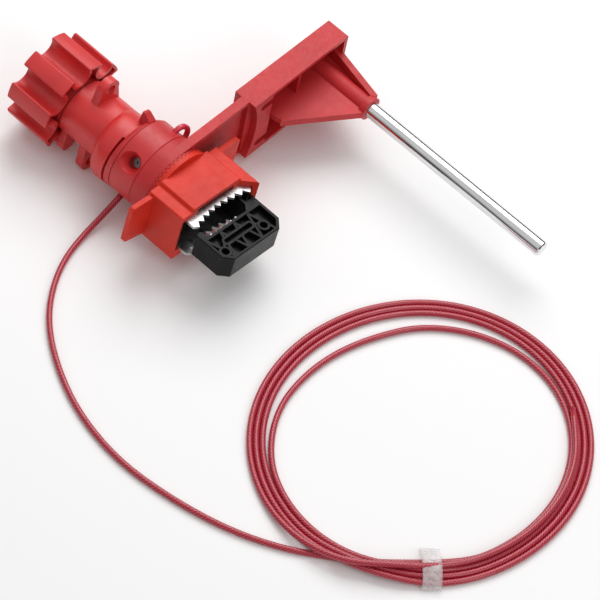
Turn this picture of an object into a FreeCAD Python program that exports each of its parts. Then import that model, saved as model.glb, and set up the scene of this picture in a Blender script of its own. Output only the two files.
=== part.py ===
"""Clamp-on valve lockout with an indexing arm, a blocking rod and a steel cable. Millimetres, +Z up.

The barrel lies along +X: the star knob is at its low end and the clamp at its high end. The arm
points along +Y and carries the blocking rod, which runs along +X past the clamp. Everything is
drawn about the barrel's own axis and is moved to the row's origin when it is saved.
"""
import FreeCAD, Part
import math
import os

V = FreeCAD.Vector
X_AXIS = V(1, 0, 0)

# ---- the stack along the barrel, from the knob to the clamp
KNOB_X0 = -40.5
BARREL_X0 = -13.0
COLLAR_X0 = 23.6
CABLE_RING_X0 = 27.0
ARM_X0 = 41.5
TEETH_X = 52.0
HOUSING_X0 = 54.5
HOUSING_X1 = 77.0
HOOK_FRONT = 107.0
ROD_TIP = 202.0

# ---- radii about the barrel axis
KNOB_R = 26.3
BARREL_R = 15.6
RING_R = 21.25
SPINE_R = 9.5
SPINE_BORE_R = 6.4
RUNNING = 0.08
SCREW_R = 5.0

# ---- knob
LOBES = 8
LOBE_ANGLE = 27.5
GROOVE_R = 5.2
GROOVE_CENTRE = 23.2
KNOB_WALL = 1.5
CAP_R = 11.0
CAP_T = 2.0
NUT_FLATS = 16.0
CLIP_X = (-4.1, -2.9)
CLIP_DEPTH = 1.4
WASHER_R = 13.8
HUB_R = 12.0

# ---- padlock eyes: their hole, ear and places as (angle, start along the barrel)
EYE_CENTRE = 21.5
EYE_R = 6.25
EYE_HOLE_R = 3.4
EYE_T = 4.5
EYES = [(77.5, -4.5), (245.0, 0.0)]

# ---- index teeth
TEETH = 48
TOOTH_HEIGHT = 1.5
TOOTH_GAP = 0.3
CROWN_BORE_R = 16.5
RIM_STEP = 0.25
CLAMP_TILT = -360.0 / TEETH

# ---- clamp housing
HOUSING_HALF_Y = 24.6
HOUSING_HALF_Z = 16.25
SHOULDER_Z = 14.1
PLATEAU_Y = 16.8
WALL = 2.5
FIN_Y = 39.5
PLATE_Z = 9.2
PLATE_T = 1.6
PLATE_Y = 21.0
PLATE_SCREW_R = 1.3
PLATE_HEAD_R = 2.5
BARREL_PIN_R = 1.5

# ---- hook
HOOK_HALF_Y = 21.0
HOOK_HALF_Z = 7.0
HOOK_BACK = 57.6
JAW_X = 89.0
POCKET_DEPTH = 3.4
RIB = 1.3
HOOK_PIN_R = 1.2
HOOK_PIN_X = HOOK_BACK + 2.4
RIVET_R = 0.9
OVAL_X = 96.3
OVAL_Y = (-11.0, 6.0)
BOSS_X = 100.6
BOSS_Y = (-16.6, 11.6)
JAW_RIVETS = [(JAW_X + 2.4, -11.0), (JAW_X + 2.4, 6.4)]

# ---- arm and rod
ARM_REACH = 109.5
ARM_END = 121.5
ARM_HALF_Z = 21.25
HEAD_Y0 = 51.6
HEAD_X1 = 55.0
SADDLE_R = 56.0
NECK_X0 = 45.75
NECK_X1 = 50.8
SKIN = 2.3
BOSS_X1 = 85.5
BOSS_R = 5.1
BOSS_RIM_R = 6.6
ROD_R = 4.3
ROD_SEAT_R = 3.5
ROD_SEAT_X = 44.0
ROD_PIN_R = 1.0
ROD_PIN_TOP = 2.6

# ---- cable
CABLE_R = 1.55
COIL_CENTRE = (228.0, -5.0)
COIL_MEAN_R = 82.3
COIL_OVAL = 4.4
COIL_SKEW = 12.0
COIL_LAYERS_HEIGHT = 6.6
FUNNEL_ANGLE = 137.0
FUNNEL_X = 34.6
PORT_R = 3.2
PORT_FLOOR = 12.4
ANVIL_R = 2.6
ANVIL_FOOT = 10.0

# ---- the row's origin, seen from the barrel axis: the middle of the box, at its lowest point
FLOOR = -25.99
ORIGIN = V((KNOB_X0 + ROD_TIP) / 2, (ARM_END - 40.6) / 2, FLOOR)


def at_angle(degrees, radius, x=0.0):
    """The point at this angle about the barrel axis: 0 is +Y and 90 is +Z."""
    turn = math.radians(degrees)
    return V(x, radius * math.cos(turn), radius * math.sin(turn))


def rod_x(radius, x0, x1, y=0.0, z=0.0):
    return Part.makeCylinder(radius, x1 - x0, V(x0, y, z), X_AXIS)


def ring_x(outer, inner, x0, x1):
    return rod_x(outer, x0, x1).cut(rod_x(inner, x0 - 1, x1 + 1))


def block(x0, x1, y0, y1, z0, z1):
    return Part.makeBox(x1 - x0, y1 - y0, z1 - z0, V(x0, y0, z0))


def prism_x(points, x0, x1):
    """A YZ outline carried along X."""
    corners = [V(x0, y, z) for y, z in points]
    face = Part.Face(Part.makePolygon(corners + corners[:1]))
    return face.extrude(V(x1 - x0, 0, 0))


def prism_z(points, z0, z1):
    """An XY outline carried along Z."""
    corners = [V(x, y, z0) for x, y in points]
    face = Part.Face(Part.makePolygon(corners + corners[:1]))
    return face.extrude(V(0, 0, z1 - z0))


def fuse(shapes):
    whole = shapes[0].multiFuse(shapes[1:])
    return whole.removeSplitter()


def cut(shape, tools):
    for tool in tools:
        shape = shape.cut(tool)
    return shape


def turned(shape, degrees):
    """A copy turned about the barrel axis."""
    copy = shape.copy()
    copy.rotate(V(0, 0, 0), X_AXIS, degrees)
    return copy


def rounded(shape, radius, wanted):
    """Round the edges whose midpoint and direction satisfy wanted(mid, direction)."""
    picked = []
    for edge in shape.Edges:
        first, last = edge.ParameterRange
        mid = edge.valueAt((first + last) / 2)
        run = edge.tangentAt((first + last) / 2)
        if edge.Length > 2.5 * radius and wanted(mid, run):
            picked.append(edge)
    return shape.makeFillet(radius, picked)


def along_x(run):
    return abs(run.x) > 0.999


def outside(mid, radius):
    return math.hypot(mid.y, mid.z) > radius


def yz(point):
    return point.y, point.z


def stadium_z(x, y, length, radius, z0, z1):
    """A slot with round ends, long along Y."""
    half = length / 2 - radius
    ends = [Part.makeCylinder(radius, z1 - z0, V(x, y + s * half, z0)) for s in (-1, 1)]
    return fuse(ends + [block(x - radius, x + radius, y - half, y + half, z0, z1)])


def tube_along(points, radius, bends):
    """A round tube along straight runs joined by tangent arcs of the given radii."""
    edges = []
    start = points[0]
    for here, after, bend in zip(points[1:-1], points[2:], bends):
        inward = (here - start).normalize()
        onward = (after - here).normalize()
        half_turn = inward.getAngle(onward) / 2
        reach = bend * math.tan(half_turn)
        first = here - inward * reach
        last = here + onward * reach
        bisector = (onward - inward).normalize()
        middle = here + bisector * (bend / math.cos(half_turn) - bend)
        edges.append(Part.LineSegment(start, first).toShape())
        edges.append(Part.Arc(first, middle, last).toShape())
        start = last
    edges.append(Part.LineSegment(start, points[-1]).toShape())
    path = Part.Wire(edges)
    heading = (points[1] - points[0]).normalize()
    section = Part.Wire([Part.Circle(points[0], heading, radius).toShape()])
    return path.makePipeShell([section], True, False)


# ---- knob group -----------------------------------------------------------------------------

def knob_outline(outer, groove, x0, x1):
    """A star: a disc with U-shaped grooves between its lobes."""
    star = rod_x(outer, x0, x1)
    for i in range(LOBES):
        angle = LOBE_ANGLE + 180.0 / LOBES + i * 360.0 / LOBES
        slot = rod_x(groove, x0 - 1, x1 + 1, GROOVE_CENTRE, 0)
        mouth = block(x0 - 1, x1 + 1, GROOVE_CENTRE, KNOB_R + 5, -groove, groove)
        star = star.cut(turned(slot.fuse(mouth), angle))
    return star


def knob():
    x1 = BARREL_X0 - 0.3
    shell = knob_outline(KNOB_R, GROOVE_R, KNOB_X0, x1)
    shell = rounded(shell, 0.9, lambda mid, run: along_x(run) and outside(mid, KNOB_R - 0.6))
    shell = shell.makeChamfer(0.6, [e for e in shell.Edges if abs(e.CenterOfMass.x - KNOB_X0) < 0.01])
    inside = knob_outline(KNOB_R - KNOB_WALL, GROOVE_R + KNOB_WALL, KNOB_X0 + 3, x1 + 1)
    shoulder = rod_x(BARREL_R - 0.2, KNOB_X0 + 2, BARREL_X0 - 0.8)
    rib = block(KNOB_X0 + CAP_T, x1 - 9, 14, KNOB_R - 1, -0.7, 0.7)
    ribs = [turned(rib, LOBE_ANGLE + i * 360.0 / LOBES) for i in range(LOBES)]
    hub = rod_x(HUB_R, KNOB_X0 + CAP_T, 0.5)
    body = fuse([shell.cut(inside), shoulder, hub] + ribs)
    groove = ring_x(HUB_R + 3, HUB_R - CLIP_DEPTH, *CLIP_X)
    cap_seat = rod_x(CAP_R, KNOB_X0 - 1, KNOB_X0 + CAP_T)
    screw_way = rod_x(SCREW_R + 0.6, KNOB_X0 - 1, 1)
    nut_seat = hexagon(NUT_FLATS, -7.5, 1)
    return cut(body, [groove, cap_seat, screw_way, nut_seat])


def hexagon(across_flats, x0, x1):
    corner = across_flats / math.sqrt(3)
    return prism_x([yz(at_angle(60 * i, corner)) for i in range(6)], x0, x1)


def knob_cap():
    disc = rod_x(CAP_R, KNOB_X0, KNOB_X0 + CAP_T)
    dish = Part.makeSphere(30.0, V(KNOB_X0 - 29.2, 0, 0))
    return disc.cut(dish)


def knob_nut():
    return hexagon(NUT_FLATS, -7.5, 0.5).cut(rod_x(SCREW_R + RUNNING, -8, 1))


def thrust_washer():
    return ring_x(WASHER_R, HUB_R, BARREL_X0 - 0.8, BARREL_X0 - 0.05)


def retaining_ring():
    band = ring_x(HUB_R + 1.0, HUB_R - CLIP_DEPTH, *CLIP_X)
    return band.cut(block(-5, 0, 0, 20, -2, 2))


# ---- barrel group ---------------------------------------------------------------------------

def ear(angle, centre, radius, x0, x1):
    """A round-ended ear standing out of the barrel."""
    head = rod_x(radius, x0, x1, centre, 0)
    foot = prism_x([(12, -radius - 3.5), (12, radius + 1), (centre, radius), (centre, -radius)], x0, x1)
    return turned(fuse([head, foot]), angle)


def eccentric_loft(sections):
    """A smooth body through circles of (x, radius, offset) pushed off the axis."""
    wires = []
    for x, radius, offset in sections:
        centre = at_angle(206, offset, x)
        wires.append(Part.Wire([Part.Circle(centre, X_AXIS, radius).toShape()]))
    return Part.makeLoft(wires, True, False)


def barrel():
    sleeve = rod_x(BARREL_R, BARREL_X0, COLLAR_X0 - 0.2)
    sections = [(10.5, 15.4, 0.1), (12.2, 17.4, 1.7), (14.5, 18.6, 2.8), (17.5, 19.0, 3.2)]
    flare = eccentric_loft(sections + [(COLLAR_X0 - 0.2, 18.9, 3.1)])
    ears = [ear(angle, EYE_CENTRE, EYE_R, x, x + EYE_T) for angle, x in EYES]
    stop = ear(234, 20.0, 4.6, BARREL_X0 + 0.5, BARREL_X0 + 4.5)
    body = fuse([sleeve, flare, stop] + ears)
    half = turned(block(22.1, COLLAR_X0 - 0.1, -30, 30, 0, 30), 116)
    slot = half.cut(rod_x(14.2, 20, 25))
    holes = [rod_x(EYE_HOLE_R, x - 1, x + EYE_T + 1, *yz(at_angle(angle, EYE_CENTRE))) for angle, x in EYES]
    bores = [rod_x(HUB_R + RUNNING, BARREL_X0 - 1, 1.9), rod_x(SPINE_R, 1, 30), ring_x(13.3, 5, -4.5, -2.5)]
    return cut(body, [slot] + holes + bores + [barrel_pin()])


def barrel_pin():
    """The pin that holds the barrel on the housing's spine. It is also the tool for its hole."""
    return along_z(BARREL_PIN_R, 8, 0, -15.4, -6.4)


def lock_collar():
    body = eccentric_loft([(COLLAR_X0, 19.3, 2.4), (25.0, 20.5, 0.9), (CABLE_RING_X0 - 0.2, 20.9, 0.2)])
    fin = prism_z([(20.4, -2.2), (26.4, -2.6), (26.4, 2.6), (20.4, 2.2)], 17.0, 23.4)
    slope = prism_z([(0, -5), (12, -5), (12, 5), (0, 5)], 0, 8)
    slope.rotate(V(0, 0, 0), V(0, 1, 0), 28)
    slope.translate(V(21.6, 0, 23.6))
    fin = fin.cut(slope)
    fin = turned(fin, 68 - 90)
    return cut(fuse([body, fin]), [rod_x(SPINE_R + RUNNING, 10, 40)])


# ---- cable ring group -----------------------------------------------------------------------

LEAD_EXIT = at_angle(227, 19.0, 32.3)
LEAD_WAY = V(0, -0.905, -0.425)
BIGHT_ANGLES = (52, 22)
BIGHT_X = (36.4, 39.4)
BIGHT_R = 26.0


def cable_ring():
    body = ring_x(RING_R, SPINE_R, CABLE_RING_X0, ARM_X0 - 0.2)
    rims = [e.BoundBox for e in body.Edges]
    at_rim = [abs(box.YMax - RING_R) < 0.01 and box.XLength < 0.01 for box in rims]
    body = body.makeChamfer(0.4, [e for e, wanted in zip(body.Edges, at_rim) if wanted])
    axis = at_angle(FUNNEL_ANGLE, 1)
    bore = Part.makeCylinder(PORT_R, 14, at_angle(FUNNEL_ANGLE, PORT_FLOOR, FUNNEL_X), axis)
    thread = Part.makeCylinder(ANVIL_R, 5, at_angle(FUNNEL_ANGLE, ANVIL_FOOT, FUNNEL_X), axis)
    mouth = Part.makeCone(2.4, 6.4, 6.5, at_angle(FUNNEL_ANGLE, 15.4, FUNNEL_X), axis)
    lead = Part.makeCylinder(CABLE_R + 0.2, 20, LEAD_EXIT - LEAD_WAY * 2, LEAD_WAY)
    return cut(body, [bore, thread, mouth, lead, bight_tube(CABLE_R + 0.1)])


def cable_anvil():
    """The hardened set screw at the bottom of the funnel, which nips the cable."""
    axis = at_angle(FUNNEL_ANGLE, 1)
    foot = at_angle(FUNNEL_ANGLE, ANVIL_FOOT, FUNNEL_X)
    screw = Part.makeCylinder(ANVIL_R, PORT_FLOOR - ANVIL_FOOT, foot, axis)
    socket = at_angle(FUNNEL_ANGLE, PORT_FLOOR - 1.2, FUNNEL_X)
    return screw.cut(Part.makeCylinder(1.0, 2.0, socket, axis))


def bight_tube(radius):
    """The loop of cable that stands out of the ring's far side."""
    a0, a1 = BIGHT_ANGLES
    x0, x1 = BIGHT_X
    points = [at_angle(a0, 15, x0), at_angle(a0 - 3, BIGHT_R, x0 + 0.8)]
    points += [at_angle(a1 + 3, BIGHT_R, x1 - 0.8), at_angle(a1, 15, x1)]
    return tube_along(points, radius, [4.2, 4.2])


def cable_bight():
    return bight_tube(CABLE_R - 0.05)


# The free cable's route from the ring to the coil: it drops to the floor and sweeps wide of the clamp.
LEAD_ROUTE = [
    (32.3, -11.6, 12.7), (32.2, -27.5, 5.2), (33.2, -43.0, 1.9), (36.6, -58.5, 1.6),
    (44.6, -75.0, 1.6), (57.5, -91.2, 1.6), (77.5, -105.5, 1.6), (104.5, -117.6, 1.6),
    (137.0, -122.8, 1.6), (169.0, -119.0, 1.6), (198.0, -111.6, 1.6), (222.0, -100.5, 1.6),
    (240.0, -88.0, 1.6),
]


def above_floor(x, y, z):
    return V(x, y, FLOOR + z)


def cable_lead():
    points = [above_floor(*point) for point in LEAD_ROUTE]
    bends = []
    for before, here, after in zip(points, points[1:], points[2:]):
        run = min((here - before).Length, (after - here).Length)
        half_turn = (here - before).getAngle(after - here) / 2
        bends.append(0.45 * run / math.tan(half_turn))
    return tube_along(points, CABLE_R, bends)


def oval(long_half, short_half, x, y, z0, z1):
    """An upright oval block. Its long axis is COIL_SKEW off the Y axis."""
    ellipse = Part.Ellipse(V(0, 0, 0), long_half, short_half).toShape()
    face = Part.Face(Part.Wire([ellipse]))
    face.rotate(V(0, 0, 0), V(0, 0, 1), 90 - COIL_SKEW)
    face.translate(V(x, y, z0))
    return face.extrude(V(0, 0, z1 - z0))


def cable_coil():
    """The closed outer shape of the coil: an oval ring."""
    x, y = COIL_CENTRE
    long_half = COIL_MEAN_R + COIL_OVAL + CABLE_R
    short_half = COIL_MEAN_R - COIL_OVAL + CABLE_R
    outer = oval(long_half, short_half, x, y, FLOOR, FLOOR + COIL_LAYERS_HEIGHT)
    inner = oval(long_half - 14.6, short_half - 15.8, x + 2.8, y + 0.8, FLOOR - 1, FLOOR + 10)
    return outer.cut(inner)


def coil_tape(coil, lead):
    """A strip of clear tape over the coil, where the lead joins it."""
    wide = block(-10.2, 9.3, -5.0, 5.0, FLOOR, FLOOR + COIL_LAYERS_HEIGHT + 0.4)
    wide.rotate(V(0, 0, 0), V(0, 0, 1), -45)
    wide.translate(V(COIL_CENTRE[0], COIL_CENTRE[1], 0) + V(52.0, -52.0, 0))
    film = wide.cut(coil)
    return film.cut(lead)


# ---- clamp housing group --------------------------------------------------------------------

def tooth_ring(tip, inner):
    """A crown of radial teeth about TEETH_X. tip is -1 to point at the knob and 1 at the clamp."""
    radius = RING_R / math.cos(math.pi / TEETH) + 0.1
    middle = V(TEETH_X, 0, 0)
    root = V(TEETH_X - tip * TOOTH_HEIGHT / 2, 0, 0)
    teeth = []
    for i in range(TEETH):
        angle = 360.0 / TEETH * i
        half = 180.0 / TEETH
        a = at_angle(angle - half, radius, root.x)
        b = at_angle(angle + half, radius, root.x)
        t = at_angle(angle, radius * math.cos(math.pi / TEETH), TEETH_X + tip * TOOTH_HEIGHT / 2)
        sides = [(middle, t, a), (middle, b, t), (a, t, b)]
        sides += [(middle, a, root), (middle, root, b), (root, a, b)]
        faces = [Part.Face(Part.makePolygon(list(side) + [side[0]])) for side in sides]
        teeth.append(Part.makeSolid(Part.makeShell(faces)))
    return fuse(teeth).common(ring_x(RING_R, inner, TEETH_X - 5, TEETH_X + 5))


def housing_outline():
    step = 1.2
    top = [(HOUSING_HALF_Y, SHOULDER_Z), (PLATEAU_Y + step, SHOULDER_Z), (PLATEAU_Y, HOUSING_HALF_Z)]
    left = [(-y, z) for y, z in reversed(top)]
    return [(HOUSING_HALF_Y, -HOUSING_HALF_Z)] + top + left + [(-HOUSING_HALF_Y, -HOUSING_HALF_Z)]


def fin(side):
    points = [(20, 12.2), (FIN_Y - 1.2, 13.0), (FIN_Y, 11.8)]
    points += [(FIN_Y, -10.4), (FIN_Y - 1, -11.2), (20, -15.2)]
    plate = prism_x([(side * y, z) for y, z in points], HOUSING_X0 + 0.4, HOUSING_X0 + 3)
    return rounded(plate, 0.7, lambda mid, run: along_x(run) and abs(mid.y) > 25)


def clamp_housing():
    body = prism_x(housing_outline(), HOUSING_X0, HOUSING_X1)
    start, inner = HOUSING_X0 + 9, 17.5
    horn = [(start, inner), (HOUSING_X1, inner), (84.0, HOUSING_HALF_Y), (start, HOUSING_HALF_Y)]
    body = fuse([body, prism_z(horn, -13.5, SHOULDER_Z)])
    body = rounded(body, 0.9, lambda mid, run: along_x(run) and mid.x < HOUSING_X1 and abs(mid.z) > 13)
    flange = rod_x(RING_R, TEETH_X + TOOTH_HEIGHT / 2, HOUSING_X0 + 0.5)
    spine = rod_x(SPINE_R, 2.0, HOUSING_X0 + 1)
    body = fuse([body, flange, spine, fin(1), fin(-1)])
    body = fuse([body, tooth_ring(-1, CROWN_BORE_R)])
    x0 = HOUSING_X0 + WALL
    slot = PLATE_Z + PLATE_T
    inner_y = HOUSING_HALF_Y - WALL
    hollow = block(x0, 95, -inner_y, inner_y, -slot, slot)
    tall = block(x0, 95, -13.0, 13.0, -HOUSING_HALF_Z + WALL, HOUSING_HALF_Z - WALL)
    lip = HOUSING_X1 - 3.5
    mouth = prism_z([(lip, -inner_y), (90, -inner_y - 6), (90, inner_y + 1), (lip, inner_y)], -slot, slot)
    spine_bore = rod_x(SPINE_BORE_R, 0, x0 + 1)
    pin_way = turned(barrel_pin(), -CLAMP_TILT)
    return cut(body, [hollow, tall, mouth, spine_bore, pin_way] + screw_ways())


PLATE_SCREWS = [(x, side * 17.3, face) for x in (62.0, 71.0) for side in (-1, 1) for face in (-1, 1)]


def along_z(radius, x, y, z0, z1):
    low, high = min(z0, z1), max(z0, z1)
    return Part.makeCylinder(radius, high - low, V(x, y, low))


def screw_ways():
    return [along_z(PLATE_SCREW_R, x, y, face * 9, face * 13.2) for x, y, face in PLATE_SCREWS]


def plate_screws():
    screws = []
    for x, y, face in PLATE_SCREWS:
        head = along_z(PLATE_HEAD_R, x, y, face * PLATE_Z, face * (PLATE_Z + 0.8))
        shank = along_z(PLATE_SCREW_R, x, y, face * PLATE_Z, face * 13.2)
        socket = along_z(1.0, x, y, face * (PLATE_Z - 1), face * (PLATE_Z + 0.6))
        screws.append(fuse([head, shank]).cut(socket))
    return Part.makeCompound(screws)


def toothed_edge(x_end, x_middle, half_y, teeth, depth, toward):
    """Corners of a saw edge from -half_y to half_y whose tips lie on a shallow arc."""
    points = []
    for i in range(2 * teeth + 1):
        y = -half_y + half_y * i / teeth
        tip = x_middle + (x_end - x_middle) * (y / half_y) ** 2
        points.append((tip if i % 2 else tip - toward * depth, y))
    return points


def fixed_plate(face):
    edge = toothed_edge(84.6, 80.8, PLATE_Y, 9, 2.6, 1)
    z0, z1 = sorted((face * PLATE_Z, face * (PLATE_Z + PLATE_T)))
    plate = prism_z([(58.0, PLATE_Y), (58.0, -PLATE_Y)] + edge, z0, z1)
    holes = []
    for x, y, side in PLATE_SCREWS:
        holes.append(along_z(PLATE_SCREW_R, x, y, side * 9, side * 12))
        holes.append(along_z(PLATE_HEAD_R, x, y, side * 8, side * (PLATE_Z + 0.8)))
    return cut(plate, holes)


# ---- hook group -----------------------------------------------------------------------------

def rib_between(start, end, z0, z1):
    (xa, ya), (xb, yb) = start, end
    length = math.hypot(xb - xa, yb - ya)
    bar = block(0, length, -RIB / 2, RIB / 2, z0, z1)
    bar.rotate(V(0, 0, 0), V(0, 0, 1), math.degrees(math.atan2(yb - ya, xb - xa)))
    bar.translate(V(xa, ya, 0))
    return bar


def hook_ribs(z0, z1):
    """The web left standing in the hook's two face pockets."""
    x_in, x_out = JAW_X + 1.5, HOOK_FRONT - 1.5
    ribs = [stadium_z(OVAL_X, sum(OVAL_Y) / 2, OVAL_Y[1] - OVAL_Y[0] + 5, 2.6, z0, z1)]
    ribs += [along_z(3.3, BOSS_X, y, z0, z1) for y in BOSS_Y]
    ribs += [rib_between((x_in - 1, y), (x_out + 1, y + 5.2), z0, z1) for y in (-19.5, -9.6, 0.3, 10.2)]
    ribs += [rib_between((x_out + 1, y), (x_in - 1, y + 5.2), z0, z1) for y in (-14.5, -4.6, 5.3)]
    ribs += [rib_between((OVAL_X, OVAL_Y[0] - 2), (BOSS_X, BOSS_Y[0]), z0, z1)]
    ribs += [rib_between((OVAL_X, OVAL_Y[1] + 2), (BOSS_X, BOSS_Y[1]), z0, z1)]
    return ribs


def rail_ribs(stem, z0, z1):
    """Zigzag ribs along the hook's long side."""
    near, far = stem + 0.8, HOOK_HALF_Y - 0.8
    steps = [(HOOK_BACK + 11 + 4.4 * i, far if i % 2 else near) for i in range(5)]
    return [rib_between(a, b, z0, z1) for a, b in zip(steps, steps[1:])]


def hook_jaw():
    chamfer = 4.6
    y = HOOK_HALF_Y
    stem = y - 7.2
    points = [(HOOK_BACK, -8), (HOOK_BACK + 6, -8), (HOOK_BACK + 6, stem - 3), (HOOK_BACK + 9, stem)]
    points += [(JAW_X - 3, stem), (JAW_X, stem - 3), (JAW_X, -15.6), (JAW_X - 1.2, -16.8)]
    points += [(JAW_X - 4.4, -17.6), (JAW_X - 4.4, -y + 0.8), (JAW_X - 3.6, -y), (HOOK_FRONT - chamfer, -y)]
    points += [(HOOK_FRONT, -y + chamfer), (HOOK_FRONT, y - chamfer)]
    points += [(HOOK_FRONT - chamfer, y), (HOOK_BACK, y)]
    body = prism_z(points, -HOOK_HALF_Z, HOOK_HALF_Z)
    body = rounded(body, 0.5, lambda mid, run: abs(mid.z) > HOOK_HALF_Z - 0.1 and mid.x > JAW_X + 1)
    for face in (-1, 1):
        z0, z1 = sorted((face * (HOOK_HALF_Z - POCKET_DEPTH), face * (HOOK_HALF_Z + 1)))
        area = [(JAW_X + 1.5, -y + 1.5), (HOOK_FRONT - 5.4, -y + 1.5), (HOOK_FRONT - 1.5, -y + 5.4)]
        area += [(HOOK_FRONT - 1.5, y - 5.4), (HOOK_FRONT - 5.4, y - 1.5), (JAW_X + 1.5, y - 1.5)]
        z0r, z1r = sorted((face * (HOOK_HALF_Z - POCKET_DEPTH - 0.8), face * (HOOK_HALF_Z - 0.25)))
        pocket = prism_z(area, z0, z1).cut(fuse(hook_ribs(z0r, z1r)))
        pocket = pocket.fuse(stadium_z(OVAL_X, sum(OVAL_Y) / 2, OVAL_Y[1] - OVAL_Y[0] + 2.6, 1.3, z0, z1))
        for boss in BOSS_Y:
            pocket = pocket.fuse(along_z(2.1, BOSS_X, boss, z0, z1))
        body = body.cut(pocket)
        rail = block(HOOK_BACK + 12, JAW_X - 4, stem + 1.4, y - 1.4, z0, z1)
        body = body.cut(rail.cut(fuse(rail_ribs(stem, z0r, z1r))))
    slot = block(JAW_X - 1, JAW_X + 4.1, -15.2, stem - 3.3, -PLATE_T / 2, PLATE_T / 2)
    screw_hole = rod_x(SCREW_R, HOOK_BACK - 1, HOOK_BACK + 4.5)
    pin_hole = along_z(HOOK_PIN_R, HOOK_PIN_X, 0, -8, 8)
    return cut(body, [slot, screw_hole, pin_hole] + jaw_rivets_apart())


def jaw_rivets_apart():
    return [along_z(RIVET_R, x, y, -3.4, 3.4) for x, y in JAW_RIVETS]


def jaw_rivets():
    return Part.makeCompound(jaw_rivets_apart())


def hook_plate():
    low, high = -15.2, HOOK_HALF_Y - 10.5
    half = (high - low) / 2
    middle = (high + low) / 2
    edge = [(x, y + middle) for x, y in toothed_edge(JAW_X - 4.0, JAW_X - 3.2, half, 7, 2.2, -1)]
    plate = prism_z([(JAW_X + 4.1, high), (JAW_X + 4.1, low)] + edge, -PLATE_T / 2, PLATE_T / 2)
    return cut(plate, jaw_rivets_apart())


def draw_screw():
    shank = rod_x(SCREW_R, -27.0, HOOK_BACK + 4.5)
    shank = shank.makeChamfer(0.8, [e for e in shank.Edges if e.BoundBox.XMax < -26.9])
    return shank.cut(along_z(HOOK_PIN_R, HOOK_PIN_X, 0, -8, 8))


def hook_pin():
    return along_z(HOOK_PIN_R, HOOK_PIN_X, 0, -HOOK_HALF_Z + 0.2, HOOK_HALF_Z - 0.2)


# ---- arm group ------------------------------------------------------------------------------

def gusset(points, rim_from, rim_to, heights, thick):
    """A flat web in the rod's plane, with a raised rim along its free edge."""
    web = prism_z(points, -1.7, 1.7)
    (xa, ya), (xb, yb) = rim_from, rim_to
    length = math.hypot(xb - xa, yb - ya)
    low, high = heights
    corners = [(0, -low), (length, -high), (length, high), (0, low)]
    face = Part.Face(Part.makePolygon([V(x, -thick / 2, z) for x, z in corners + corners[:1]]))
    rim = face.extrude(V(0, thick, 0))
    rim.rotate(V(0, 0, 0), V(0, 0, 1), math.degrees(math.atan2(yb - ya, xb - xa)))
    rim.translate(V(xa, ya, 0))
    return web.fuse(rim)


def arm_head():
    z = ARM_HALF_Z
    outer = block(ARM_X0, HEAD_X1, HEAD_Y0, ARM_END, -z, z)
    swept = rod_x(SADDLE_R, NECK_X1, HEAD_X1 + 1)
    outer = outer.cut(swept)
    outer = rounded(outer, 1.0, lambda mid, run: along_x(run) and mid.y > ARM_END - 1)
    inside = z - SKIN
    wide = block(ARM_X0 + SKIN, HEAD_X1 + 1, SADDLE_R + 10, ARM_END - SKIN, -inside, inside)
    slots = []
    for side in (-1, 1):
        slot = stadium_z(0, 0, 12.0, 2.2, 0, 30)
        slot.rotate(V(0, 0, 0), V(0, 1, 0), 90)
        slot.translate(V(ARM_X0 + 2, SADDLE_R + 7.5, side * 14.4))
        slots.append(slot)
    return cut(outer, [wide] + slots)


def arm_neck():
    z = ARM_HALF_Z
    web = block(NECK_X0, NECK_X0 + SKIN, 0, HEAD_Y0 + 2, -z, z)
    upper = block(NECK_X0, NECK_X1, 0, HEAD_Y0 + 6, z - SKIN, z)
    lower = block(NECK_X0, NECK_X1, 0, HEAD_Y0 + 6, -z, SKIN - z)
    return [web, upper, lower]


def arm():
    z = ARM_HALF_Z - 1
    y = ARM_REACH
    x0 = ARM_X0 + 1
    front = BOSS_X1 - 2
    near = [(x0, 66), (60.5, 68.5), (front, 103), (front, y), (x0, y)]
    far = [(x0, y), (front, y), (front - 0.5, y + 4.4), (54.5, ARM_END - 1.8), (x0, ARM_END - 1.8)]
    low = gusset(near, (60.2, 68.4), (front + 0.6, 103.6), (2.2, 2.2), 2.2)
    high = gusset(far, (front, y + 4.4), (x0 + 4, ARM_END - 1.8), (5.0, 9.9), 3.4)
    boss = [rod_x(BOSS_R, x0, BOSS_X1 - 3, y), rod_x(BOSS_RIM_R, BOSS_X1 - 3.5, BOSS_X1, y)]
    ribs = [block(x0, 53.5, 87, 88.8, -z, z)]
    hub = rod_x(RING_R, ARM_X0, TEETH_X - TOOTH_HEIGHT / 2 - TOOTH_GAP)
    crown = turned(tooth_ring(1, CROWN_BORE_R), 180.0 / TEETH)
    crown.translate(V(-TOOTH_GAP, 0, 0))
    body = fuse([arm_head(), low, high, hub] + boss + ribs + arm_neck())
    relief = ring_x(SADDLE_R - 0.01, RING_R - RIM_STEP, NECK_X1, 60)
    body = fuse([body.cut(relief), crown])
    return cut(body, [rod_x(SPINE_R + RUNNING, 30, 60), rod_x(ROD_SEAT_R, ROD_SEAT_X, 90, y), rod_pin(1)])


def rod_pin(below=0):
    """The pin through the boss. It is also the tool for its hole, when it starts below the boss."""
    return along_z(ROD_PIN_R, BOSS_X1 - 8, ARM_REACH, -BOSS_R - below, ROD_PIN_TOP)


def blocking_rod():
    rod = rod_x(ROD_R, BOSS_X1, ROD_TIP, ARM_REACH)
    rod = rod.makeChamfer(0.7, [e for e in rod.Edges if e.BoundBox.XMin > ROD_TIP - 0.1])
    rod = rod.fuse(rod_x(ROD_SEAT_R, ROD_SEAT_X, BOSS_X1, ARM_REACH))
    return rod.cut(rod_pin(1))


# ---- saving ---------------------------------------------------------------------------------

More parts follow.
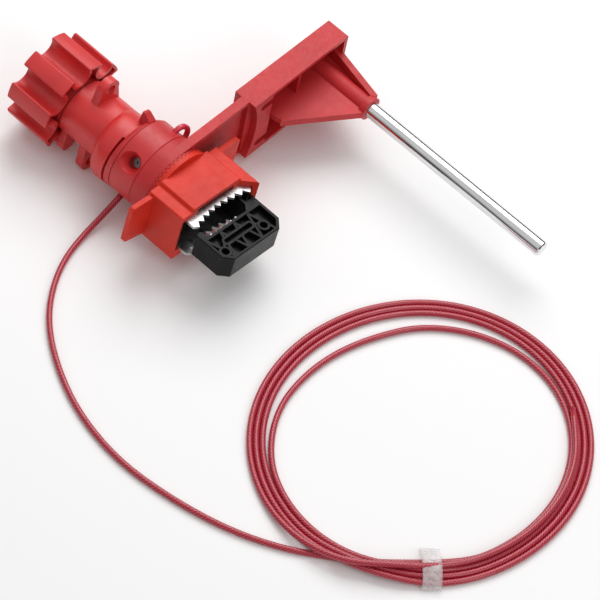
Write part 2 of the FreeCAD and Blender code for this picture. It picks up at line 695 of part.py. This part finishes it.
def save(name, shape):
    shape = shape.copy()
    shape.translate(-ORIGIN)
    shape.exportStep("parts/" + name + ".step")
    box = shape.optimalBoundingBox(False)
    solids = len(shape.Solids)
    low = (round(box.XMin, 2), round(box.YMin, 2), round(box.ZMin, 2))
    high = (round(box.XMax, 2), round(box.YMax, 2), round(box.ZMax, 2))
    print(name, "solids", solids, "valid", shape.isValid(), low, high, "volume", round(shape.Volume, 1))


def tilted(shape):
    """The clamp stands one tooth round from the arm."""
    return turned(shape, CLAMP_TILT)


def main():
    os.makedirs("parts", exist_ok=True)
    save("knob", knob())
    save("knob_cap", knob_cap())
    save("knob_nut", knob_nut())
    save("thrust_washer", thrust_washer())
    save("retaining_ring", retaining_ring())
    save("barrel", barrel())
    save("barrel_pin", barrel_pin())
    save("lock_collar", lock_collar())
    save("cable_ring", cable_ring())
    save("cable_anvil", cable_anvil())
    save("cable_bight", cable_bight())
    save("clamp_housing", tilted(clamp_housing()))
    save("fixed_plate_upper", tilted(fixed_plate(1)))
    save("fixed_plate_lower", tilted(fixed_plate(-1)))
    save("plate_screws", tilted(plate_screws()))
    save("hook_jaw", tilted(hook_jaw()))
    save("hook_plate", tilted(hook_plate()))
    save("jaw_rivets", tilted(jaw_rivets()))
    save("draw_screw", tilted(draw_screw()))
    save("hook_pin", tilted(hook_pin()))
    save("arm", arm())
    save("blocking_rod", blocking_rod())
    save("rod_pin", rod_pin())
    lead = cable_lead()
    coil = cable_coil()
    save("cable_lead", lead)
    save("cable_coil", coil)
    save("coil_tape", coil_tape(coil, lead))


main()
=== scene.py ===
"""Look of the clamp-on valve lockout: plastics, metals, cable, tape and studio."""

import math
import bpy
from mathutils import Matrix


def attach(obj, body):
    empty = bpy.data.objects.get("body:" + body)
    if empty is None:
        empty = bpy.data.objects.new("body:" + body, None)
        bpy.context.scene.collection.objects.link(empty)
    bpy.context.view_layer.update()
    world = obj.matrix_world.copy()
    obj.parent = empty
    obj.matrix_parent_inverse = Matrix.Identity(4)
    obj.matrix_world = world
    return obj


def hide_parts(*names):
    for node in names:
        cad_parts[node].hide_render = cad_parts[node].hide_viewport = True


bl_info = {
    "name": "Valve Lockout",
    "version": (1, 0, 0),
    "blender": (4, 5, 0),
    "location": "View3D > Sidebar > Lockout",
    "description": "Finishes the parts of a clamp-on valve lockout and lays out its cable",
    "category": "Object",
}

import bmesh
import bpy
from bpy.props import FloatProperty, FloatVectorProperty, IntProperty, PointerProperty
from bpy.types import Operator, Panel, PropertyGroup
from mathutils import Matrix, Vector

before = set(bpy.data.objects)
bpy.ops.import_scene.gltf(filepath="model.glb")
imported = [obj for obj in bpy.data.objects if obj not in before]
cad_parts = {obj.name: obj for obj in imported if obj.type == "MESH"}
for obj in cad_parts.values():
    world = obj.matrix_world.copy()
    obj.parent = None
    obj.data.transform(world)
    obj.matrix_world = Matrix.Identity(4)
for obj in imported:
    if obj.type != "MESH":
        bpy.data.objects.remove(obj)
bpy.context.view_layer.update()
MM = 0.001

# Route of the free cable in millimetres, from the ring to the coil.
LEAD_ROUTE = [
    (-48.45, -52.05, 12.7), (-48.55, -67.95, 5.2), (-47.55, -83.45, 1.9), (-44.15, -98.95, 1.6),
    (-36.15, -115.45, 1.6), (-23.25, -131.65, 1.6), (-3.25, -145.95, 1.6), (23.75, -158.05, 1.6),
    (56.25, -163.25, 1.6), (88.25, -159.45, 1.6), (117.25, -152.05, 1.6), (141.25, -140.95, 1.6),
    (159.25, -128.45, 1.6), (173.3, -116.9, 1.6), (185.0, -105.6, 1.6),
]
COIL_CENTRE = (147.25, -45.45)
COIL_MEAN_R = 82.3
COIL_OVAL = 4.4
COIL_SKEW = 12.0
# How far the strand lies inside the coil's outline, by the angle wound so far.
COIL_DEPTH = [
    (-45, 9.6), (60, 9.8), (125, 15.0), (155, 17.0), (185, 15.6), (210, 12.4), (240, 9.8), (285, 9.6),
    (320, 6.4), (640, 6.4), (690, 3.2), (1000, 3.2), (1050, 0.0), (1358, 0.0), (1386, 8.0), (1500, 8.0),
]
# Height of the strand's middle above the floor, by the same angle.
COIL_HEIGHT = [
    (-45, 1.6), (284, 1.6), (299, 4.8), (312, 4.8), (328, 1.6), (634, 1.6), (650, 4.8), (666, 4.8),
    (682, 1.6), (988, 1.6), (1004, 4.8), (1020, 4.8), (1036, 1.6), (1330, 1.6), (1348, 4.8), (1362, 7.8),
    (1378, 7.9), (1394, 6.2), (1412, 4.4), (1500, 4.3),
]
COIL_STEP = 15
COIL_START = -30
COIL_END = 1500
RING_SIDES = 16

# Section of the tape across the coil: distance from the coil's centre, and height.
TAPE_SECTION = [
    (60.5, 0.3), (61.5, 3.0), (64.0, 4.9), (68.0, 6.9), (73.5, 7.4), (78.5, 6.4), (82.0, 3.9), (83.2, 0.3),
]
TAPE_STEPS = 6
TAPE_ANGLE = -45
FILM_THICKNESS = 0.00015

# Noise scales of the moulded pieces, per metre, and how far they reach.
MOTTLE_SCALE = 55.0
GRAIN_SCALE = 1500.0
GLOSS_SCALE = 320.0
GLOSS_SPREAD = 0.07
DOT_RANDOMNESS = 0.25
DOT_DEPTH = 0.0001
DOT_STRENGTH = 0.7

# Places in metres.
FLOOR_SIZE = 6.0
LAMP_TARGET = (0.05, -0.02, 0.0)
KEY_PLACE = (-0.36, 0.58, 0.98)
FILL_PLACE = (0.95, -0.1, 0.7)
CAMERA_PLACE = (0.55895, -0.85115, 1.36419)
CAMERA_RIGHT = (0.7261, 0.6741, 0.1360)
CAMERA_BACK = (0.3039, -0.4919, 0.8159)


# ---- settings -------------------------------------------------------------------------------

def colour(name, description, default):
    return FloatVectorProperty(
        name=name, description=description, default=default, size=3, min=0.0, max=1.0, subtype="COLOR"
    )


def factor(name, description, default):
    return FloatProperty(
        name=name, description=description, default=default, min=0.0, max=1.0, subtype="FACTOR"
    )


def span(name, description, default):
    return FloatProperty(name=name, description=description, default=default, unit="LENGTH")


class LOCKOUT_PG_plastic(PropertyGroup):
    """Colours and textures of the moulded pieces."""

    knob: colour("Knob", "Colour of the star knob and its cap", (0.64, 0.032, 0.033))
    barrel: colour("Barrel", "Colour of the barrel and its eyes", (0.66, 0.030, 0.030))
    ring: colour("Cable Ring", "Colour of the cable ring and lock collar", (0.58, 0.024, 0.027))
    clamp: colour("Clamp", "Colour of the clamp housing", (0.68, 0.030, 0.014))
    arm: colour("Arm", "Colour of the arm", (0.56, 0.026, 0.030))
    jaw: colour("Hook", "Colour of the hook jaw", (0.004, 0.004, 0.0045))
    gloss: factor("Roughness", "Roughness of the red mouldings", 0.42)
    grain: span("Grain", "Depth of the moulded grain", 0.00006)


class LOCKOUT_PG_metal(PropertyGroup):
    """Colours of the bare metal pieces."""

    plate: colour("Toothed Plates", "Colour of the zinc plated jaw plates", (0.55, 0.56, 0.56))
    rod: colour("Rod", "Colour of the polished blocking rod", (0.80, 0.80, 0.81))
    screw: colour("Screws", "Colour of the zinc plated screws", (0.56, 0.56, 0.57))
    pin: colour("Pins", "Colour of the oiled pins and rings", (0.30, 0.30, 0.31))


class LOCKOUT_PG_cable(PropertyGroup):
    """Sizes and colours of the sheathed cable."""

    diameter: span("Diameter", "Across the sheath", 0.0031)
    length: span("Length", "From the ring to the bare end", 2.41)
    strands: IntProperty(name="Strands", description="Strands seen through the sheath", default=6, min=3)
    lay: span("Lay", "Length of one turn of a strand", 0.011)
    sheath: colour("Sheath", "Colour between the strands", (0.26, 0.003, 0.014))
    # The strand colour stands for the strands seen through the sheath plus a painted highlight along each
    # strand's middle.
    strand: colour("Strand", "Colour over the strands", (0.60, 0.018, 0.050))


class LOCKOUT_PG_tape(PropertyGroup):
    """The clear tape that ties the coil."""

    width: span("Width", "Width of the tape", 0.0095)
    cover: factor("Cover", "How much the film hides", 0.30)


class LOCKOUT_PG_stage(PropertyGroup):
    """Floor, lights and camera."""

    floor: colour("Floor", "Colour of the floor", (0.96, 0.96, 0.96))
    low_sky: colour("Low Sky", "Colour of the light near the horizon", (0.04, 0.04, 0.04))
    sky: FloatProperty(name="Sky", description="Strength of the light from all round", default=0.66, min=0.0)
    key: FloatProperty(name="Key Light", description="Power of the main lamp", default=9.0, unit="POWER")
    fill: FloatProperty(name="Fill Light", description="Power of the second lamp", default=1.6, unit="POWER")
    lens: FloatProperty(name="Lens", description="Focal length of the camera", default=202.2, unit="CAMERA")


class LOCKOUT_PG_settings(PropertyGroup):
    """All settings of the lockout."""

    plastic: PointerProperty(type=LOCKOUT_PG_plastic)
    metal: PointerProperty(type=LOCKOUT_PG_metal)
    cable: PointerProperty(type=LOCKOUT_PG_cable)
    tape: PointerProperty(type=LOCKOUT_PG_tape)
    stage: PointerProperty(type=LOCKOUT_PG_stage)


# ---- materials ------------------------------------------------------------------------------

def new_material(name):
    """A fresh material with its tree, shader and object coordinates."""
    mat = bpy.data.materials.new(name)
    mat.use_nodes = True
    tree = mat.node_tree
    shader = tree.nodes["Principled BSDF"]
    coords = tree.nodes.new("ShaderNodeTexCoord")
    return mat, tree, shader, coords.outputs["Object"]


def noise(tree, vector, scale, detail=3.0, roughness=0.55):
    node = tree.nodes.new("ShaderNodeTexNoise")
    node.inputs["Scale"].default_value = scale
    node.inputs["Detail"].default_value = detail
    node.inputs["Roughness"].default_value = roughness
    tree.links.new(vector, node.inputs["Vector"])
    return node.outputs["Fac"]


def ranged(tree, value, low, high, from_low=0.3, from_high=0.7):
    node = tree.nodes.new("ShaderNodeMapRange")
    node.inputs["From Min"].default_value = from_low
    node.inputs["From Max"].default_value = from_high
    node.inputs["To Min"].default_value = low
    node.inputs["To Max"].default_value = high
    tree.links.new(value, node.inputs["Value"])
    return node.outputs["Result"]


def blended(tree, value, one, two):
    """A colour that goes from one to two as value goes from 0 to 1."""
    node = tree.nodes.new("ShaderNodeMix")
    node.data_type = "RGBA"
    node.inputs["A"].default_value = (*one, 1.0)
    node.inputs["B"].default_value = (*two, 1.0)
    tree.links.new(value, node.inputs["Factor"])
    return node.outputs["Result"]


def bumped(tree, height, distance, strength=1.0, below=None):
    node = tree.nodes.new("ShaderNodeBump")
    node.inputs["Distance"].default_value = distance
    node.inputs["Strength"].default_value = strength
    tree.links.new(height, node.inputs["Height"])
    if below is not None:
        tree.links.new(below, node.inputs["Normal"])
    return node.outputs["Normal"]


def times(tint, amount):
    return tuple(min(1.0, c * amount) for c in tint)


def moulded(name, tint, rough, grain, dots=None, shine=0.5):
    """Moulded plastic: mottled colour, uneven gloss and a fine grain, with raised dots if asked."""
    mat, tree, shader, at = new_material(name)
    broad = ranged(tree, noise(tree, at, MOTTLE_SCALE), 0.0, 1.0)
    mottled = blended(tree, broad, times(tint, 0.90), times(tint, 1.10))
    tree.links.new(mottled, shader.inputs["Base Color"])
    fine = noise(tree, at, GRAIN_SCALE, 2.0)
    gloss = ranged(tree, noise(tree, at, GLOSS_SCALE), rough - GLOSS_SPREAD, rough + GLOSS_SPREAD)
    tree.links.new(gloss, shader.inputs["Roughness"])
    normal = bumped(tree, fine, grain)
    if dots:
        cells = tree.nodes.new("ShaderNodeTexVoronoi")
        cells.inputs["Scale"].default_value = dots
        cells.inputs["Randomness"].default_value = DOT_RANDOMNESS
        tree.links.new(at, cells.inputs["Vector"])
        raised = ranged(tree, cells.outputs["Distance"], 1.0, 0.0, 0.15, 0.5)
        normal = bumped(tree, raised, DOT_DEPTH, DOT_STRENGTH, normal)
    tree.links.new(normal, shader.inputs["Normal"])
    shader.inputs["Specular IOR Level"].default_value = shine
    return mat


def metal(name, tint, rough, scale, stretch=(1, 1, 1), depth=0.00002):
    """Bare metal: fine marks, stretched along the piece where it is drawn or rolled."""
    mat, tree, shader, at = new_material(name)
    mapping = tree.nodes.new("ShaderNodeMapping")
    mapping.inputs["Scale"].default_value = stretch
    tree.links.new(at, mapping.inputs["Vector"])
    marks = noise(tree, mapping.outputs["Vector"], scale, 4.0, 0.6)
    marked = blended(tree, ranged(tree, marks, 0.0, 1.0), times(tint, 0.88), times(tint, 1.06))
    tree.links.new(marked, shader.inputs["Base Color"])
    tree.links.new(ranged(tree, marks, rough * 0.75, rough * 1.3), shader.inputs["Roughness"])
    tree.links.new(bumped(tree, marks, depth), shader.inputs["Normal"])
    shader.inputs["Metallic"].default_value = 1.0
    return mat


def strand_waves(tree, strands):
    """A wave that is 1 along the middle of each strand and 0 between strands."""
    uv = tree.nodes.new("ShaderNodeTexCoord").outputs["UV"]
    split = tree.nodes.new("ShaderNodeSeparateXYZ")
    tree.links.new(uv, split.inputs["Vector"])
    turn = tree.nodes.new("ShaderNodeMath")
    turn.operation = "ADD"
    tree.links.new(split.outputs["X"], turn.inputs[0])
    tree.links.new(split.outputs["Y"], turn.inputs[1])
    phase = tree.nodes.new("ShaderNodeMath")
    phase.operation = "MULTIPLY"
    phase.inputs[1].default_value = 2 * math.pi * strands
    tree.links.new(turn.outputs["Value"], phase.inputs[0])
    wave = tree.nodes.new("ShaderNodeMath")
    wave.operation = "COSINE"
    tree.links.new(phase.outputs["Value"], wave.inputs[0])
    return ranged(tree, wave.outputs["Value"], 0.0, 1.0, -1.0, 1.0)


def sheathed(name, settings):
    """A clear red sheath over twisted strands, with a painted highlight along the middle of each strand."""
    mat, tree, shader, at = new_material(name)
    wave = strand_waves(tree, settings.strands)
    # Lighter along each strand's middle: the strands under the sheath, with a painted highlight on them.
    strands_and_highlight = blended(tree, wave, tuple(settings.sheath), tuple(settings.strand))
    tree.links.new(strands_and_highlight, shader.inputs["Base Color"])
    tree.links.new(bumped(tree, wave, 0.00018, 0.7), shader.inputs["Normal"])
    tree.links.new(ranged(tree, noise(tree, at, 500.0), 0.26, 0.40), shader.inputs["Roughness"])
    shader.inputs["Coat Weight"].default_value = 0.6
    shader.inputs["Coat Roughness"].default_value = 0.12
    return mat


def filmed(name, cover):
    """Clear tape: a thin glossy film with faint creases."""
    mat, tree, shader, at = new_material(name)
    creases = noise(tree, at, 420.0, 3.0)
    tree.links.new(bumped(tree, creases, 0.0004), shader.inputs["Normal"])
    tree.links.new(ranged(tree, creases, cover * 0.7, min(1.0, cover * 1.4)), shader.inputs["Alpha"])
    shader.inputs["Base Color"].default_value = (0.92, 0.90, 0.90, 1.0)
    shader.inputs["Roughness"].default_value = 0.12
    return mat


def dress(mat, *names):
    """Gives CAD nodes their material."""
    for name in names:
        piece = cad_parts[name]
        if not piece.material_slots:
            piece.data.materials.append(mat)
        for slot in piece.material_slots:
            slot.material = mat


# ---- cable ----------------------------------------------------------------------------------

def keyed(table, x):
    """The value of a table at x, eased between its keys."""
    for (x0, y0), (x1, y1) in zip(table, table[1:]):
        if x <= x1:
            t = max(0.0, (x - x0) / (x1 - x0))
            return y0 + (y1 - y0) * t * t * (3 - 2 * t)
    return table[-1][1]


def coil_point(wound):
    """Where the strand is once it has been wound round by this many degrees."""
    outline = COIL_MEAN_R - COIL_OVAL * math.cos(math.radians(2 * (wound + COIL_SKEW)))
    reach = (outline - keyed(COIL_DEPTH, wound)) / math.cos(math.radians(COIL_STEP / 2))
    angle = math.radians(wound)
    x, y = COIL_CENTRE
    return (x + reach * math.cos(angle), y + reach * math.sin(angle), keyed(COIL_HEIGHT, wound))


def cable_points():
    """The route's points in metres."""
    coil = [coil_point(wound) for wound in range(COIL_START, COIL_END + 1, COIL_STEP)]
    return [Vector(p) * MM for p in LEAD_ROUTE + coil]


def route_curve(name, points, resolution):
    """A smooth open line that the points control."""
    data = bpy.data.curves.new(name, "CURVE")
    data.dimensions = "3D"
    data.resolution_u = resolution
    spline = data.splines.new("NURBS")
    spline.points.add(len(points) - 1)
    for point, place in zip(spline.points, points):
        point.co = (*place, 1.0)
    spline.order_u = 3
    spline.use_endpoint_u = True
    return data


def as_mesh(data):
    """The mesh that a curve makes."""
    holder = bpy.data.objects.new(data.name, data)
    bpy.context.scene.collection.objects.link(holder)
    bpy.context.view_layer.update()
    depsgraph = bpy.context.evaluated_depsgraph_get()
    mesh = bpy.data.meshes.new_from_object(holder.evaluated_get(depsgraph))
    bpy.data.objects.remove(holder)
    return mesh


def runs_along(line):
    """Distance from the first point to each point of a line."""
    run = [0.0]
    for a, b in zip(line, line[1:]):
        run.append(run[-1] + (b - a).length)
    return run


def tube(name, points, radius, lay, resolution=5):
    """A round tube along the route. Its UV map counts turns of the lay along it and one turn round it."""
    data = route_curve(name, points, resolution)
    line = [v.co.copy() for v in as_mesh(data).vertices]
    run = runs_along(line)
    data.bevel_depth = radius
    data.bevel_resolution = RING_SIDES // 2 - 2
    mesh = as_mesh(data)
    sides = len(mesh.vertices) // len(line)
    if sides * len(line) != len(mesh.vertices):
        raise RuntimeError(f"{name}: {len(mesh.vertices)} points do not share out among {len(line)} rings")
    layer = mesh.uv_layers.active or mesh.uv_layers.new(name="UVMap")
    for face in mesh.polygons:
        rounds = [mesh.loops[i].vertex_index % sides for i in face.loop_indices]
        over = max(rounds) - min(rounds) > sides / 2
        for i, k in zip(face.loop_indices, rounds):
            ring = mesh.loops[i].vertex_index // sides
            across = (k + sides if over and k < sides / 2 else k) / sides
            layer.data[i].uv = (run[ring] / lay, across)
        face.use_smooth = True
    shape = bmesh.new()
    shape.from_mesh(mesh)
    bmesh.ops.holes_fill(shape, edges=[e for e in shape.edges if e.is_boundary])
    shape.to_mesh(mesh)
    shape.free()
    piece = bpy.data.objects.new(name, mesh)
    bpy.context.scene.collection.objects.link(piece)
    return piece, line


def settings_of(context):
    return context.scene.valve_lockout


class LOCKOUT_OT_cable(Operator):
    """Lay the cable from the ring to its coil"""

    bl_idname = "lockout.cable"
    bl_label = "Lay Cable"

    def execute(self, context):
        cable = settings_of(context).cable
        piece, line = tube("cable", cable_points(), cable.diameter / 2, cable.lay)
        piece.data.materials.append(sheathed("cable sheath", cable))
        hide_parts("cable_lead", "cable_coil")
        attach(piece, "clamp_frame")
        self.report({"INFO"}, f"cable is {runs_along(line)[-1]:.3f} m long")
        return {"FINISHED"}


class LOCKOUT_OT_coil_tape(Operator):
    """Wrap the clear tape over the coil"""

    bl_idname = "lockout.coil_tape"
    bl_label = "Wrap Tape"

    def execute(self, context):
        tape = settings_of(context).tape
        shape = bmesh.new()
        half = tape.width / 2
        start = [shape.verts.new((reach * MM, -half, height * MM)) for reach, height in TAPE_SECTION]
        edges = [shape.edges.new(pair) for pair in zip(start, start[1:])]
        for _ in range(TAPE_STEPS):
            grown = bmesh.ops.extrude_edge_only(shape, edges=edges)["geom"]
            fresh = [v for v in grown if isinstance(v, bmesh.types.BMVert)]
            edges = [e for e in grown if isinstance(e, bmesh.types.BMEdge)]
            bmesh.ops.translate(shape, verts=fresh, vec=(0, tape.width / TAPE_STEPS, 0))
        bmesh.ops.recalc_face_normals(shape, faces=shape.faces)
        turn = Matrix.Rotation(math.radians(TAPE_ANGLE), 4, "Z")
        x, y = COIL_CENTRE
        place = Matrix.Translation((x * MM, y * MM, 0)) @ turn
        bmesh.ops.transform(shape, verts=shape.verts, matrix=place)
        mesh = bpy.data.meshes.new("tape_film")
        shape.to_mesh(mesh)
        shape.free()
        mesh.shade_smooth()
        piece = bpy.data.objects.new("tape_film", mesh)
        context.scene.collection.objects.link(piece)
        wall = piece.modifiers.new("Film", "SOLIDIFY")
        wall.thickness = FILM_THICKNESS
        wall.offset = 0
        mesh.materials.append(filmed("clear tape", tape.cover))
        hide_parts("coil_tape")
        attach(piece, "clamp_frame")
        return {"FINISHED"}


class LOCKOUT_OT_plastics(Operator):
    """Finish the moulded pieces"""

    bl_idname = "lockout.plastics"
    bl_label = "Finish Plastics"

    def execute(self, context):
        plastic = settings_of(context).plastic
        rough, grain = plastic.gloss, plastic.grain
        dress(moulded("red knob plastic", tuple(plastic.knob), rough, grain), "knob", "knob_cap")
        dress(moulded("red barrel plastic", tuple(plastic.barrel), rough - 0.05, grain), "barrel")
        dress(moulded("red ring plastic", tuple(plastic.ring), rough, grain, dots=900.0), "lock_collar")
        dress(moulded("red cable ring plastic", tuple(plastic.ring), rough, grain), "cable_ring")
        clamp = moulded("red clamp plastic", tuple(plastic.clamp), rough + 0.04, grain, shine=0.3)
        dress(clamp, "clamp_housing")
        dress(moulded("red arm plastic", tuple(plastic.arm), rough + 0.04, grain, 1100.0, 0.4), "arm")
        dress(moulded("black nylon", tuple(plastic.jaw), 0.3, grain, shine=0.14), "hook_jaw")
        return {"FINISHED"}


class LOCKOUT_OT_metals(Operator):
    """Finish the bare metal pieces"""

    bl_idname = "lockout.metals"
    bl_label = "Finish Metals"

    def execute(self, context):
        tints = settings_of(context).metal
        plate = metal("zinc plated plate", tuple(tints.plate), 0.34, 260.0, (1, 1, 3))
        dress(plate, "fixed_plate_upper", "fixed_plate_lower", "hook_plate")
        dress(metal("polished rod", tuple(tints.rod), 0.13, 900.0, (0.06, 1, 1), 0.000004), "blocking_rod")
        screw = metal("zinc plated screws", tuple(tints.screw), 0.36, 700.0)
        dress(screw, "plate_screws", "draw_screw", "knob_nut", "thrust_washer", "barrel_pin")
        pin = metal("oiled steel", tuple(tints.pin), 0.42, 600.0)
        dress(pin, "jaw_rivets", "hook_pin", "rod_pin", "cable_anvil", "retaining_ring")
        dress(sheathed("bight sheath", settings_of(context).cable), "cable_bight")
        return {"FINISHED"}


# ---- stage ----------------------------------------------------------------------------------

def area_lamp(name, place, target, size, power):
    data = bpy.data.lights.new(name, "AREA")
    data.shape = "RECTANGLE"
    data.size, data.size_y = size
    data.energy = power
    lamp = bpy.data.objects.new(name, data)
    lamp.location = place
    lamp.rotation_euler = (Vector(target) - Vector(place)).to_track_quat("-Z", "Y").to_euler()
    bpy.context.scene.collection.objects.link(lamp)
    return lamp


class LOCKOUT_OT_stage(Operator):
    """Set up the floor, lights and camera"""

    bl_idname = "lockout.stage"
    bl_label = "Set Stage"

    def execute(self, context):
        stage = settings_of(context).stage
        scene = context.scene
        shape = bmesh.new()
        bmesh.ops.create_grid(shape, x_segments=2, y_segments=2, size=FLOOR_SIZE)
        mesh = bpy.data.meshes.new("studio_floor")
        shape.to_mesh(mesh)
        shape.free()
        floor = bpy.data.objects.new("studio_floor", mesh)
        scene.collection.objects.link(floor)
        mat, tree, shader, at = new_material("floor paper")
        tree.links.new(
            blended(tree, noise(tree, at, 3.0), times(stage.floor, 0.995), times(stage.floor, 1.005)),
            shader.inputs["Base Color"],
        )
        shader.inputs["Roughness"].default_value = 0.9
        mesh.materials.append(mat)

        world = bpy.data.worlds.new("studio")
        world.use_nodes = True
        sky = world.node_tree
        ray = sky.nodes.new("ShaderNodeTexCoord").outputs["Generated"]
        split = sky.nodes.new("ShaderNodeSeparateXYZ")
        sky.links.new(ray, split.inputs["Vector"])
        rising = ranged(sky, split.outputs["Z"], 0.0, 1.0, 0.14, 0.64)
        background = sky.nodes["Background"]
        shade = blended(sky, rising, tuple(stage.low_sky), (1.0, 1.0, 1.0))
        sky.links.new(shade, background.inputs["Color"])
        background.inputs["Strength"].default_value = stage.sky
        scene.world = world
        area_lamp("key lamp", KEY_PLACE, LAMP_TARGET, (0.9, 0.9), stage.key)
        area_lamp("fill lamp", FILL_PLACE, LAMP_TARGET, (0.3, 0.6), stage.fill)

        data = bpy.data.cameras.new("camera")
        data.lens = stage.lens
        data.clip_end = 20.0
        camera = bpy.data.objects.new("camera", data)
        right = Vector(CAMERA_RIGHT).normalized()
        back = Vector(CAMERA_BACK).normalized()
        up = back.cross(right).normalized()
        right = up.cross(back)
        turn = Matrix((right, up, back)).transposed().to_4x4()
        camera.matrix_world = Matrix.Translation(CAMERA_PLACE) @ turn
        scene.collection.objects.link(camera)
        scene.camera = camera
        scene.view_settings.view_transform = "Standard"
        return {"FINISHED"}


class LOCKOUT_PT_panel(Panel):
    """Lists the steps in the sidebar"""

    bl_idname = "LOCKOUT_PT_panel"
    bl_label = "Valve Lockout"
    bl_space_type = "VIEW_3D"
    bl_region_type = "UI"
    bl_category = "Lockout"

    def draw(self, context):
        for step in STEPS:
            self.layout.operator(step.bl_idname)


STEPS = (LOCKOUT_OT_stage, LOCKOUT_OT_cable, LOCKOUT_OT_coil_tape, LOCKOUT_OT_plastics, LOCKOUT_OT_metals)
GROUPS = (
    LOCKOUT_PG_plastic, LOCKOUT_PG_metal, LOCKOUT_PG_cable, LOCKOUT_PG_tape, LOCKOUT_PG_stage,
    LOCKOUT_PG_settings,
)
CLASSES = GROUPS + STEPS + (LOCKOUT_PT_panel,)


def register():
    for cls in CLASSES:
        bpy.utils.register_class(cls)
    bpy.types.Scene.valve_lockout = PointerProperty(type=LOCKOUT_PG_settings)


def unregister():
    del bpy.types.Scene.valve_lockout
    for cls in reversed(CLASSES):
        bpy.utils.unregister_class(cls)


def main():
    register()
    bpy.ops.lockout.stage()
    bpy.ops.lockout.cable()
    bpy.ops.lockout.coil_tape()
    bpy.ops.lockout.plastics()
    bpy.ops.lockout.metals()


if __name__ == "__main__":
    main()
